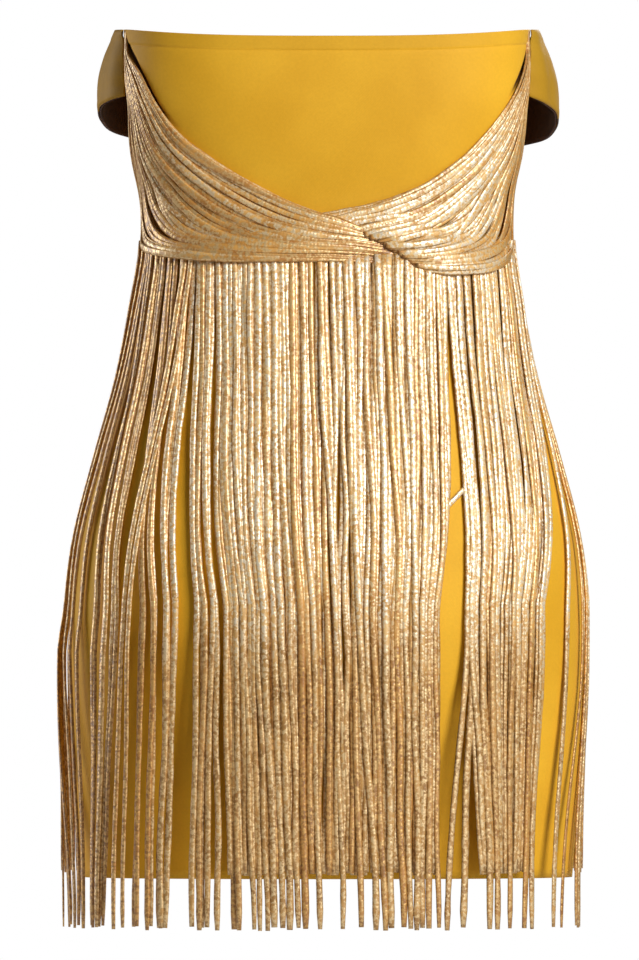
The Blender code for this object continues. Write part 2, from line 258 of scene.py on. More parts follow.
# %% A helper for finishes
class Finish:
    """A material with a Principled shader and a short way to add nodes to it."""

    def __init__(self, name, roughness, sheen=0.0):
        self.material = bpy.data.materials.new(name)
        self.material.use_nodes = True
        self.nodes = self.material.node_tree.nodes
        self.links = self.material.node_tree.links
        self.shader = self.nodes["Principled BSDF"]
        self.shader.inputs["Roughness"].default_value = roughness
        self.shader.inputs["Sheen Weight"].default_value = sheen
        self.place = self.add("TexCoord").outputs["Object"]

    def add(self, kind, settings=(), **inputs):
        """Add a node. Inputs are values or other nodes' sockets, by name, or i0, i1 by number."""
        node = self.nodes.new("ShaderNode" + kind)
        for key, value in dict(settings).items():
            setattr(node, key, value)
        for key, value in inputs.items():
            numbered = key[0] == "i" and key[1:].isdigit()
            socket = node.inputs[int(key[1:]) if numbered else key]
            if isinstance(value, bpy.types.NodeSocket):
                self.links.new(value, socket)
            else:
                socket.default_value = value
        return node

    def ramp(self, value, stops):
        """A colour ramp: stops are (place, (red, green, blue))."""
        node = self.nodes.new("ShaderNodeValToRGB")
        self.links.new(value, node.inputs["Fac"])
        marks = node.color_ramp.elements
        while len(marks) < len(stops):
            marks.new(0.5)
        for mark, (place, colour) in zip(marks, stops):
            mark.position = place
            mark.color = (*colour, 1.0)
        return node.outputs["Color"]

    def mix(self, amount, first, second):
        """A colour between two others."""
        return self.add("Mix", {"data_type": "RGBA"}, i0=amount, i6=first, i7=second).outputs[2]

    def paint(self, socket, value):
        """Link a value to one of the shader's own sockets."""
        self.links.new(value, self.shader.inputs[socket])

    def noise(self, place, scale, **settings):
        """A soft random pattern."""
        return self.add("TexNoise", Vector=place, Scale=scale, **settings).outputs["Fac"]

    def multiply(self, value, factor):
        """A value times another."""
        return self.add("Math", {"operation": "MULTIPLY"}, i0=value, i1=factor).outputs[0]

    def wave(self, value, length):
        """A sine wave of a given length along a value."""
        angle = self.multiply(value, 2 * math.pi / length)
        return self.add("Math", {"operation": "SINE"}, i0=angle).outputs[0]

    def tint(self, amount, first, second):
        """The first colour, multiplied by the second as far as the amount says."""
        node = self.add("MixRGB", {"blend_type": "MULTIPLY"}, Fac=amount, Color1=first, Color2=second)
        return node.outputs["Color"]

    def bump(self, strength, distance, height, **under):
        """Relief that only the light sees, on its own or on top of another bump."""
        node = self.add("Bump", Strength=strength, Distance=distance, Height=height, **under)
        return node.outputs["Normal"]

# %% [markdown]
# ### Golden knit
#
# The sheath is a dense stretch knit with a matt satin look. Very fine upright rows of stitches, a little
# over a millimetre apart, catch the light, and the dye is not perfectly even. The rows are bump, because no
# one could see them as form. The cloth's own map is in metres, so the stitches keep their size on the
# panels. A layer of painted shade darkens the cloth where a swag shades it. The hem band and the inside are
# the same knit in darker tones. The sleeves are the same knit too, darkened with painted shade because they
# turn away from the light.

# %% The golden knit
WALE = 0.0013
COURSE = 0.0011
DEEP_DYE = (0.66, 0.335, 0.014)
FAIR_DYE = (0.80, 0.435, 0.026)
SMOOTH = {"interpolation_type": "SMOOTHSTEP"}
PAINTED_SHADE_RANGE = {"From Max": 0.62}
PAINTED_SHADE_COLOUR = (0.060, 0.020, 0.004, 1.0)


def golden_knit(name="golden_knit", tone=1.0, shaded=True):
    """Smooth golden jersey, with rows of fine stitches."""
    finish = Finish(name, roughness=0.62, sheen=0.05)
    finish.shader.inputs["Sheen Roughness"].default_value = 0.45
    finish.shader.inputs["Specular IOR Level"].default_value = 0.18
    cloth_map = finish.add("UVMap", {"uv_map": "cloth"}).outputs["UV"]
    cloud = finish.noise(finish.place, 9.0, Detail=3.0)
    grain = finish.noise(finish.place, 520.0, Detail=2.0)
    deep = tuple(tone * value for value in DEEP_DYE)
    fair = tuple(tone * value for value in FAIR_DYE)
    dye = finish.ramp(cloud, ((0.32, deep), (0.70, fair)))
    worn = finish.ramp(grain, ((0.3, (0.90, 0.90, 0.90)), (0.7, (1.0, 1.0, 1.0))))
    tint = finish.tint(0.55, dye, worn)
    # Painted shade: beside a swag's upper edge the colour is darkened towards a dark brown.
    if shaded:
        painted_fold_shade = finish.add("Attribute", {"attribute_name": "painted_fold_shade"}).outputs["Fac"]
        dark = finish.add("MapRange", SMOOTH, Value=painted_fold_shade, **PAINTED_SHADE_RANGE)
        tint = finish.mix(dark.outputs["Result"], tint, PAINTED_SHADE_COLOUR)
    finish.paint("Base Color", tint)
    rows = finish.add("SeparateXYZ", Vector=cloth_map)
    stitches = finish.multiply(finish.wave(rows.outputs["X"], WALE), finish.wave(rows.outputs["Y"], COURSE))
    knit = finish.bump(0.25, 0.00012, stitches)
    finish.paint("Normal", finish.bump(0.3, 0.0002, grain, Normal=knit))
    return finish.material


knit_cloth = golden_knit()
hem_cloth = golden_knit("golden_knit_hem", tone=0.92)
# The sleeves' darker tone is painted shade, since they turn away from the light.
painted_shade_sleeve_cloth = golden_knit("golden_knit_sleeve_painted_shade", tone=0.58)
inside_cloth = golden_knit("golden_knit_inside", tone=0.80, shaded=False)
print("finish:", knit_cloth.name, hem_cloth.name, painted_shade_sleeve_cloth.name, inside_cloth.name)

# %% [markdown]
# ### Dark lining
#
# Under the near edge of each cap sleeve the photograph shows a dark brown inner side. It is plain cloth with
# a soft nap, so a dull brown with a little grain is enough; its darkness is partly the lining's own colour
# and partly painted shade of the sleeve's hollow.

# %% The dark lining
def dark_lining():
    """Dull dark brown cloth, its darkness partly painted shade."""
    finish = Finish("dark_lining", roughness=0.85, sheen=0.05)
    grain = finish.noise(finish.place, 420.0, Detail=3.0)
    brown = finish.ramp(grain, ((0.3, (0.034, 0.008, 0.002)), (0.7, (0.062, 0.016, 0.004))))
    finish.paint("Base Color", brown)
    finish.paint("Normal", finish.bump(0.3, 0.0003, grain))
    return finish.material


lining_and_painted_shade_cloth = dark_lining()
print("finish:", lining_and_painted_shade_cloth.name)

# %% [markdown]
# ### Metallic chainette
#
# A chainette strand is a tiny knitted chain with a metal thread in it. From a step away it reads as a soft
# champagne cord full of pin-point sparkle: cream glints, gold and brown shade side by side, about a
# millimetre each. One noise runs along each strand and streaks it, a finer one makes the glints, and a wave
# along the strand makes the links of the chain. The glints are the pale thread's colour, partly real
# metallic shine and partly painted glint. Below the hips the strands turn away from the light, so their yarn
# and their shine are darkened there with painted shade. An attribute keeps each strand's own random tone and
# its painted shade: where it dives, on the left of the fringe, on the right swag near the side and over the
# left swag.

# %% The chainette
LINK = 0.0026
STREAK_SPREAD = 37.0
PAINTED_SHADE_LEVELS = {"From Min": -0.49, "From Max": -0.415}
SHINE_IN_PAINTED_SHADE = (0.82, 0.60, 0.32, 1.0)
UPPER_SHINE = (1.0, 0.88, 0.68, 1.0)
TONES_AND_PAINTED_SHADE = (
    (0.00, (0.34, 0.20, 0.08)),
    (0.10, (0.66, 0.46, 0.22)),
    (0.34, (0.86, 0.68, 0.40)),
    (0.62, (0.96, 0.90, 0.79)),
    (1.00, (1.00, 1.00, 1.00)),
)


def chainette():
    """Golden yarn with a pale metal thread that sparkles, partly through painted glints and painted shade.
    """
    finish = Finish("metallic_chainette", roughness=0.42)
    finish.shader.inputs["Specular IOR Level"].default_value = 1.0
    strand_map = finish.add("UVMap", {"uv_map": "strand"}).outputs["UV"]
    along = finish.add("SeparateXYZ", Vector=strand_map).outputs["Y"]
    tone = finish.add("Attribute", {"attribute_name": "tone"}).outputs["Fac"]
    run = finish.add("CombineXYZ", X=finish.multiply(tone, STREAK_SPREAD), Y=along).outputs["Vector"]
    streak = finish.noise(run, 46.0, Detail=2.0)
    glint = finish.noise(finish.place, 380.0, Detail=1.5, Roughness=0.6)
    # Below the hips the yarn and the shine are darkened with painted shade.
    height = finish.add("SeparateXYZ", Vector=finish.place).outputs["Z"]
    painted_shade_below_hips = finish.add("MapRange", SMOOTH, Value=height, **PAINTED_SHADE_LEVELS)
    upper = finish.ramp(streak, ((0.36, (0.56, 0.300, 0.075)), (0.62, (0.84, 0.560, 0.230))))
    lower = finish.ramp(streak, ((0.36, (0.33, 0.160, 0.032)), (0.62, (0.56, 0.310, 0.090))))
    yarn = finish.mix(painted_shade_below_hips.outputs["Result"], lower, upper)
    shine = finish.mix(painted_shade_below_hips.outputs["Result"], SHINE_IN_PAINTED_SHADE, UPPER_SHINE)
    # The pale thread spots are partly real metallic shine and partly painted glint.
    thread_and_painted_glint = finish.ramp(glint, ((0.45, (0.0, 0.0, 0.0)), (0.57, (1.0, 1.0, 1.0))))
    cord = finish.mix(thread_and_painted_glint, yarn, shine)
    # The tone attribute carries each strand's random tone and its painted shade.
    finish.paint("Base Color", finish.tint(1.0, cord, finish.ramp(tone, TONES_AND_PAINTED_SHADE)))
    finish.paint("Metallic", finish.multiply(thread_and_painted_glint, 0.5))
    chain = finish.bump(0.12, 0.0003, finish.wave(along, LINK))
    finish.paint("Normal", finish.bump(0.6, 0.0004, glint, Normal=chain))
    return finish.material


strand_cord = chainette()
print("finish:", strand_cord.name)

# %% [markdown]
# ## Sheets of cloth
#
# A panel is a grid of points laid on the rings and thickened a little inwards. The grid also carries the
# cloth map in metres, and how deep each point lies in the fold beside a swag, which the knit shows as
# painted shade. A panel is finer than a worn dress needs for its outline, because the hem, the seams and the
# creases are formed in the same points.

# %% Laying a sheet
CLOTH = 0.0011


def as_object(name, mesh, finish):
    """A mesh as an object in the scene, smooth and with one finish."""
    mesh.shade_smooth()
    mesh.materials.append(finish)
    piece = bpy.data.objects.new(name, mesh)
    bpy.context.scene.collection.objects.link(piece)
    return piece


def lay_sheet(name, columns, rows, place, map_place, finish, thickness=CLOTH, painted_shade_at=None):
    """A sheet whose points come from place(column share, row share), thickened inwards."""
    shape = bmesh.new()
    bmesh.ops.create_grid(shape, x_segments=columns, y_segments=rows, size=0.5)
    cloth_map = shape.loops.layers.uv.new("cloth")
    # This layer holds how much painted shade each point gets beside a swag.
    painted_fold_shade = shape.verts.layers.float.new("painted_fold_shade")
    shares = {}
    for point in shape.verts:
        shares[point] = (point.co.x + 0.5, 0.5 - point.co.y)
        point.co = place(*shares[point])
        point[painted_fold_shade] = painted_shade_at(*shares[point]) if painted_shade_at else 0.0
    for face in shape.faces:
        for corner in face.loops:
            corner[cloth_map].uv = map_place(*shares[corner.vert])
    shape.normal_update()
    away = 0.0
    for face in shape.faces:
        centre = face.calc_center_median()
        away += face.normal.x * centre.x + face.normal.y * centre.y
    if away < 0:
        bmesh.ops.reverse_faces(shape, faces=shape.faces)
    mesh = bpy.data.meshes.new(name)
    shape.to_mesh(mesh)
    shape.free()
    piece = as_object(name, mesh, finish)
    wall = piece.modifiers.new("cloth", "SOLIDIFY")
    wall.thickness = thickness
    wall.offset = -1.0
    wall.use_even_offset = True
    return piece

# %% A soft step
def soft_step(low, high, value):
    """0 at low, 1 at high, smooth between."""
    part = min(max((value - low) / (high - low), 0.0), 1.0)
    return part * part * (3 - 2 * part)

# %% [markdown]
# ## The sheath
#
# Front and back are one pattern piece each, joined at the side seams. The neckline is turned in and
# stitched down, which makes a band that stands a little proud and ends in a shallow groove. Stretch cloth
# pulls fine creases where the dress narrows: from the sleeves to the waist, and across the waist itself.
# They are placed one by one.

# %% Creases
CREASES = (
    # turn, level, half length, slant (degrees of turn for each metre down), half width, depth
    (-77, -0.205, 0.030, 260, 3.0, 0.0009),
    (-84, -0.235, 0.036, 180, 2.4, 0.0007),
    (80, -0.215, 0.034, -240, 2.8, 0.0009),
    (86, -0.250, 0.030, -160, 2.4, 0.0007),
    (112, -0.120, 0.026, 420, 3.4, 0.0012),
    (122, -0.135, 0.030, 380, 3.0, 0.0010),
    (104, -0.150, 0.028, 300, 3.0, 0.0011),
    (247, -0.118, 0.028, -400, 3.4, 0.0012),
    (239, -0.138, 0.026, -380, 3.0, 0.0010),
    (256, -0.152, 0.030, -300, 3.0, 0.0010),
    (150, -0.142, 0.020, 900, 4.0, 0.0008),
    (208, -0.140, 0.022, -900, 4.0, 0.0008),
    (98, -0.055, 0.026, 150, 2.6, 0.0008),
    (262, -0.055, 0.026, -150, 2.6, 0.0008),
    (27, -0.500, 0.026, -170, 2.4, 0.0016),
    (-38, -0.505, 0.022, 120, 3.0, 0.0014),
)


def crease_sink(turn, level):
    """How far the creases sink the cloth at a place."""
    sink = 0.0
    for middle, height, half_length, slant, half_width, depth in CREASES:
        down = level - height
        side = turn - middle - slant * -down
        if abs(down) < 2 * half_length and abs(side) < 4 * half_width:
            sink += depth * math.exp(-((down / half_length) ** 2) * 1.6 - (side / half_width) ** 2)
    return sink


print("creases", len(CREASES))

# %% [markdown]
# ### Shadow beside the swags
#
# Beside the upper edge of each swag the photograph shows a thin dark line, where the swag presses the cloth
# in and shades it. A place near that line sinks, and its colour is darkened there with painted shade. It
# fades out towards the twist.

# %% The fold beside each swag
# Turn and level along the line.
EDGE_LEFT = ((-84, -0.003), (-75, -0.015), (-68, -0.024), (-60, -0.039), (-52, -0.059), (-43, -0.077))
EDGE_RIGHT = ((86, -0.003), (81, -0.015), (76, -0.025), (69, -0.038), (60, -0.053))
EDGE_WIDTH = 0.0025
EDGE_DEPTH = 0.0030
EDGE_LOWEST = -0.10
FADE_LEFT = (-0.082, -0.045)
FADE_RIGHT = (-0.056, -0.030)
FADE_TOP = 0.005
# A degree of turn is about this many metres of cloth here.
TURN_REACH = 0.00205


def edge_shade(turn, level):
    """How deep a place lies in the fold beside a swag's upper edge, from 0 to 1."""
    line = EDGE_LEFT if turn < 0 else EDGE_RIGHT
    if abs(turn) > 90 or level < EDGE_LOWEST:
        return 0.0
    nearest = 1.0
    for (turn_a, level_a), (turn_b, level_b) in zip(line, line[1:]):
        to_x, to_y = (turn - turn_a) * TURN_REACH, level - level_a
        run_x, run_y = (turn_b - turn_a) * TURN_REACH, level_b - level_a
        part = min(max((to_x * run_x + to_y * run_y) / (run_x**2 + run_y**2), 0.0), 1.0)
        nearest = min(nearest, math.hypot(to_x - run_x * part, to_y - run_y * part))
    fade = soft_step(*(FADE_LEFT if turn < 0 else FADE_RIGHT), level)
    return fade * soft_step(0.0, FADE_TOP, -level) * math.exp(-((nearest / EDGE_WIDTH) ** 2))

# %% Neck band, groove and seams
BAND_DEPTH = 0.0112
BAND_RISE = 0.0005
BAND_STEP = 0.0012
GROOVE = 0.0003
GROOVE_WIDTH = 0.0011
SEAM_SINK = 0.0009
SEAM_WIDTH = 0.9


def neck_level(turn):
    """The neckline dips a little in the middle of each side."""
    return -NECK_DIP * math.cos(math.radians(turn)) ** 2


def cloth_lift(turn, level):
    """The relief of the sheath: neck band, groove, side seams, creases and the fold beside a swag."""
    below_neck = neck_level(turn) - level
    band = BAND_RISE * (1 - soft_step(BAND_DEPTH - BAND_STEP, BAND_DEPTH, below_neck))
    groove = GROOVE * math.exp(-(((below_neck - BAND_DEPTH) / GROOVE_WIDTH) ** 2))
    from_seam = min(abs(abs((turn + 180) % 360 - 180) - 90.0), 30.0)
    seam = SEAM_SINK * math.exp(-((from_seam / SEAM_WIDTH) ** 2))
    return band - groove - seam - crease_sink(turn, level) - EDGE_DEPTH * edge_shade(turn, level)


print("neck band", 1000 * BAND_DEPTH, "mm deep")

# %% Two panels
SHEATH_GRID = (230, 150)
# Rows lie closest at the neck band and above the twist, where the relief is finest.
ROWS_DOWN = (0.0, 0.12, 0.52, 1.0)
LEVELS_DOWN = (0.0, 0.0195, 0.19, 1.0)
HALF_GIRTHS = {}


def girth_table(level):
    """Half the girth at a level, worked out once for each millimetre."""
    key = round(level * 1000)
    if key not in HALF_GIRTHS:
        HALF_GIRTHS[key] = (girth(level) + girth(level, 90.0, 270.0)) / 2
    return HALF_GIRTHS[key]


def make_sheath(name, first_turn):
    """Half of the sheath, from side seam to side seam."""

    def settle(share, down):
        turn = first_turn + 180 * share
        top = neck_level(turn)
        return turn, top + (HEM_LEVEL - top) * float(np.interp(down, ROWS_DOWN, LEVELS_DOWN))

    def place(share, down):
        turn, level = settle(share, down)
        return on_dress(turn, level, cloth_lift(turn, level))

    def map_place(share, down):
        turn, level = settle(share, down)
        return ((share - 0.5) * girth_table(level), level)

    def painted_shade_at(share, down):
        return edge_shade(*settle(share, down))

    piece = lay_sheet(name, *SHEATH_GRID, place, map_place, knit_cloth, painted_shade_at=painted_shade_at)
    piece.data.materials.append(hem_cloth)
    piece.data.materials.append(inside_cloth)
    piece.modifiers["cloth"].material_offset = 2
    for face in piece.data.polygons:
        x, y, level = face.center
        if neck_level(math.degrees(math.atan2(x, -y))) - level < BAND_DEPTH:
            face.material_index = 1
    return piece


sheath_back = make_sheath("sheath_back_cloth", -90.0)
sheath_front = make_sheath("sheath_front_cloth", 90.0)
print("sheath", len(sheath_back.data.polygons), "faces a panel")

# %% [markdown]
# ## Cap sleeves
#
# Off the shoulder there is only a short cap. It is a strap of the same knit that leaves the side of the
# dress, makes a loop and comes back further along, so the loop is open at the top and at its hem. The table
# says how far it stands off and where its two edges run. Its near half is golden outside, and behind it the
# far half shows its dark inner side below the near edge. The right sleeve hangs a little lower and wider
# than the left.

# %% The shape of a sleeve
CAPS = np.array([
    # turn, lift of the top edge, lift of the hem, level of the top edge, level of the hem
    (84.0, 0.0006, 0.0006, 0.000, -0.050),
    (88.0, 0.0040, 0.0110, 0.000, -0.0525),
    (94.0, 0.0060, 0.0200, 0.000, -0.0565),
    (102.0, 0.0090, 0.0255, -0.001, -0.0620),
    (110.0, 0.0135, 0.0310, -0.002, -0.0680),
    (118.0, 0.0215, 0.0365, -0.004, -0.0745),
    (126.0, 0.0280, 0.0385, -0.006, -0.0790),
    (133.0, 0.0225, 0.0285, -0.007, -0.0840),
    (137.0, 0.0130, 0.0150, -0.0075, -0.0860),
    (140.0, 0.0006, 0.0006, -0.008, -0.0880),
])
CAP_CLOTH = 0.0012
LINING_GAP = 0.0004
CAP_BULGE = 0.0060
RIGHT_DROP = 0.0065
RIGHT_FLARE = 0.0030
CAP_BAND = (0.10, 0.13)
CAP_BAND_RISE = 0.0004
PUCKER = 0.0006


def read_table(rows, place):
    """Read a table of even steps at any place, on a smooth curve through its rows."""
    last = len(rows) - 1
    start = min(int(place), last - 1)
    part = place - start
    before, here, there, after = (rows[min(max(start + step, 0), last)] for step in (-1, 0, 1, 2))
    bend = 2 * here + (there - before) * part
    bend = bend + (2 * before - 5 * here + 4 * there - after) * part**2
    return (bend + (3 * here - before - 3 * there + after) * part**3) / 2


def cap_spot(along, down, side):
    """A point of a sleeve: along from the near seam to the far one, down from the top edge to the hem."""
    turn, top_lift, hem_lift, top, hem = read_table(CAPS, along * (len(CAPS) - 1))
    bulge = CAP_BULGE * math.sin(math.pi * down) * math.sin(math.pi * along)
    reach = top_lift + (hem_lift - top_lift) * down + bulge + CAP_CLOTH
    if side > 0:
        hem -= RIGHT_DROP * math.sin(math.pi * along)
        reach += RIGHT_FLARE * down * math.sin(math.pi * along)
    x, y, z = on_dress(turn, top + (hem - top) * down, reach)
    return Vector((x * side, y, z))


def cap_relief(along, down):
    """The sleeve's two turned edges, and soft puckers near its seams."""
    edge = min(down, 1 - down)
    band = CAP_BAND_RISE * (1 - soft_step(*CAP_BAND, edge))
    near_seam = math.exp(-along * 9) + math.exp(-(1 - along) * 9)
    return band + PUCKER * near_seam * math.sin(down * 21 + along * 6)


def square_below(along, down, side, depth):
    """A point under the sleeve's cloth, measured square to it."""
    step = 0.02
    round_cap = cap_spot(min(along + step, 1), down, side) - cap_spot(max(along - step, 0), down, side)
    drop = cap_spot(along, 1, side) - cap_spot(along, 0, side)
    square = drop.cross(round_cap).normalized() * side
    return cap_spot(along, down, side) - square * depth


print("a sleeve stands off", round(CAPS[:, 2].max(), 4), "m at its hem")

# %% Sleeves and linings
SLEEVE_GRID = (74, 22)
SLEEVE_MAP = (0.12, 0.06)
LINING_CLOTH = 0.0008
LINING_SPAN = (0.045, 0.955)
FAR_PART = 0.3


def make_sleeve(name, side, finish, depth, thickness, first=0.0, last=1.0, relief=True):
    """One cap sleeve, or the lining under it."""

    def place(share, down):
        along = first + (last - first) * share
        lift = cap_relief(along, down) if relief else 0.0
        return square_below(along, down, side, depth - lift)

    def map_place(share, down):
        return (share * SLEEVE_MAP[0], down * SLEEVE_MAP[1])

    piece = lay_sheet(name, *SLEEVE_GRID, place, map_place, finish, thickness)
    if relief:
        paint_far_edge_shade(piece)
    return piece


def paint_far_edge_shade(piece):
    """The far half's hem edge takes the dark lining colour as painted shade, so nothing golden shows round
    the dark inside.
    """
    columns = SLEEVE_GRID[0]
    piece.data.materials.append(painted_shade_sleeve_cloth)
    piece.data.materials.append(lining_and_painted_shade_cloth)
    piece.modifiers["cloth"].material_offset_rim = 1
    for face in piece.data.polygons:
        edge = [index for index in face.vertices if index < columns + 1]
        if edge and min(edge) > columns * FAR_PART:
            face.material_index = 1


sleeves = {}
for side, label in ((-1, "left"), (1, "right")):
    sleeves[label] = make_sleeve(f"sleeve_{label}_cloth", side, painted_shade_sleeve_cloth, 0.0, CAP_CLOTH)
    sleeves["lining_" + label] = make_sleeve(
        f"sleeve_lining_{label}_cloth", side, lining_and_painted_shade_cloth, CAP_CLOTH + LINING_GAP, LINING_CLOTH,
        *LINING_SPAN, relief=False)
print("sleeves", sorted(sleeves))

# %% [markdown]
# ## Strands
#
# Every strand is a soft tube through a row of points. A tube gets six sides and is at least twice as wide
# as deep, and its sections swell and shrink by a few hundredths so that its edge is never a ruled line. All
# strands of one bundle are written into one mesh, because hundreds of separate objects would be slow to
# keep. The mesh keeps a strand map, with metres along the strand, and a tone for each strand.

# %% Tubes for strands
SIDES = 6
STRAND_WIDTH = 0.0050
STRAND_DEPTH = 0.0022


class Bundle:
    """Collects strands and turns them into one mesh."""

    def __init__(self, seed):
        self.points, self.faces, self.maps, self.tones, self.lengths = [], [], [], [], []
        self.chance = random.Random(seed)

    def strand(self, rows):
        """One tube. Each row is a point of it: place, direction out of the cloth, width, depth and tone."""
        path, outward, widths, depths, tones = (np.array(column, float) for column in zip(*rows))
        steps = np.gradient(path, axis=0)
        steps /= np.linalg.norm(steps, axis=1)[:, None]
        sideways = np.cross(steps, outward)
        sideways /= np.linalg.norm(sideways, axis=1)[:, None]
        outward = np.cross(sideways, steps)
        first = sum(len(block) for block in self.points)
        turns = np.arange(SIDES) * 2 * math.pi / SIDES
        wide = np.cos(turns)[None, :, None] * sideways[:, None, :] * (widths / 2)[:, None, None]
        deep = np.sin(turns)[None, :, None] * outward[:, None, :] * (depths / 2)[:, None, None]
        self.points.append((path[:, None, :] + wide + deep).reshape(-1, 3))
        lengths = np.concatenate([[0], np.cumsum(np.linalg.norm(np.diff(path, axis=0), axis=1))])
        self.lengths.append(lengths[-1])
        for row in range(len(path) - 1):
            here, there = first + row * SIDES, first + (row + 1) * SIDES
            for side in range(SIDES):
                after = (side + 1) % SIDES
                self.faces.append((here + side, here + after, there + after, there + side))
                low, high = side / SIDES, (side + 1) / SIDES
                self.maps += [(low, lengths[row]), (high, lengths[row])]
                self.maps += [(high, lengths[row + 1]), (low, lengths[row + 1])]
        for start, order in ((first, -1), (first + (len(path) - 1) * SIDES, 1)):
            self.faces.append(tuple(start + side for side in range(SIDES))[::order])
            self.maps += [(0.5, 0.0)] * SIDES
        self.tones += np.repeat(tones, SIDES).tolist()

    def describe(self, label):
        """Print how many strands there are so far, and the shortest and longest in metres."""
        print(label, len(self.lengths), "strands", [round(pick(self.lengths), 3) for pick in (min, max)])

    def build(self, name, finish):
        """The bundle as one object."""
        mesh = bpy.data.meshes.new(name)
        mesh.from_pydata(np.concatenate(self.points).tolist(), [], self.faces)
        strand_map = mesh.uv_layers.new(name="strand")
        strand_map.data.foreach_set("uv", np.array(self.maps, np.float32).ravel())
        tone = mesh.attributes.new("tone", "FLOAT", "POINT")
        tone.data.foreach_set("value", np.array(self.tones, np.float32))
        shape = bmesh.new()
        shape.from_mesh(mesh)
        bmesh.ops.recalc_face_normals(shape, faces=shape.faces)
        shape.to_mesh(mesh)
        shape.free()
        return as_object(name, mesh, finish)


print("strand", 1000 * STRAND_WIDTH, "mm wide")

# %% [markdown]
# ## Swags
#
# From each neck corner a bundle of strands fans out, wraps the side and runs to the middle of the waist.
# There the left bundle rides over the upper strands of the right one and then dives under its lower ones,
# which is the twist. The guides give three lines of each bundle: its upper edge, its middle and its outer
# edge. A strand keeps its own place between the edges. Where the bundle is narrow the strands press
# together, and where it is wide, small slits open between them. A strand gets painted shade where it dives,
# and so do the right swag's strands near the side. The left swag has darker tones than the right one, also
# painted shade, because the light comes from the right.

# %% Guides of the swags
LEFT_GUIDES = np.array([
    # upper turn, upper level, middle turn, middle level, outer turn, outer level
    (-80, -0.001, -81, -0.001, -82, -0.001),
    (-76, -0.017, -79, -0.017, -82, -0.017),
    (-62, -0.033, -71, -0.034, -79, -0.035),
    (-52, -0.056, -65, -0.059, -76, -0.060),
    (-43, -0.079, -60, -0.086, -83, -0.084),
    (-32, -0.098, -51, -0.112, -91, -0.110),
    (-20, -0.116, -40, -0.134, -95, -0.137),
    (-8, -0.132, -26, -0.151, -82, -0.160),
    (1, -0.142, -10, -0.159, -42, -0.171),
    (10, -0.151, 8, -0.163, 2, -0.174),
    (24, -0.160, 25, -0.170, 22, -0.178),
])
RIGHT_GUIDES = np.array([
    (80, -0.001, 81, -0.001, 82, -0.001),
    (77, -0.017, 80, -0.017, 83, -0.017),
    (70, -0.034, 76, -0.034, 82, -0.035),
    (59, -0.057, 69, -0.059, 79, -0.060),
    (49, -0.078, 62, -0.086, 84, -0.084),
    (39, -0.099, 53, -0.112, 91, -0.110),
    (28, -0.117, 42, -0.133, 95, -0.137),
    (17, -0.128, 31, -0.148, 86, -0.162),
    (9, -0.134, 27, -0.150, 62, -0.178),
    (2, -0.138, 18, -0.155, 40, -0.182),
    (-4, -0.143, 12, -0.158, 26, -0.179),
])


def swag_spot(guides, across, along):
    """Turn and level at a share across the bundle and along it."""
    row = read_table(guides, along * (len(guides) - 1))
    return read_table(row.reshape(3, 2), min(max(across, 0.0), 1.0) * 2)


def bundle_width(guides, along):
    """How wide the bundle lies on the dress."""
    edges = [on_dress(*swag_spot(guides, across, along)) for across in (0.0, 0.5, 1.0)]
    return math.dist(edges[0], edges[1]) + math.dist(edges[1], edges[2])


print("left bundle", round(bundle_width(LEFT_GUIDES, 0.5), 3), "m wide")

# %% The twist
def left_rise(across, along):
    """The left swag rides over the right one's upper strands, then dives under its lower edge."""
    return 0.0036 * soft_step(0.66, 0.80, along) * (1 - 1.6 * soft_step(0.84, 0.97, along))


def right_rise(across, along):
    """The right swag's lower strands ride over the left swag, and its upper ones end under it."""
    fade = 1 - soft_step(0.90, 1.0, along)
    return 0.0046 * soft_step(0.72, 0.86, along) * soft_step(0.30, 0.55, across) * fade

# %% The swags
# Where along a bundle its strands dive, and get painted shade there.
LEFT_DIVE_SHADE = (0.89, 0.95)
RIGHT_DIVE_SHADE = (0.955, 0.99)
SWAG_STRANDS = 72
SWAG_LAYERS = 3
SWAG_STEPS = 64
SWAG_LIFT = 0.0018
LAYER_STEP = 0.0009
SWAG_DEPTH = 0.0015
LEAST_PRESSED = 0.34
OVERLAP = 0.80
SIDE_SHADE = 0.6


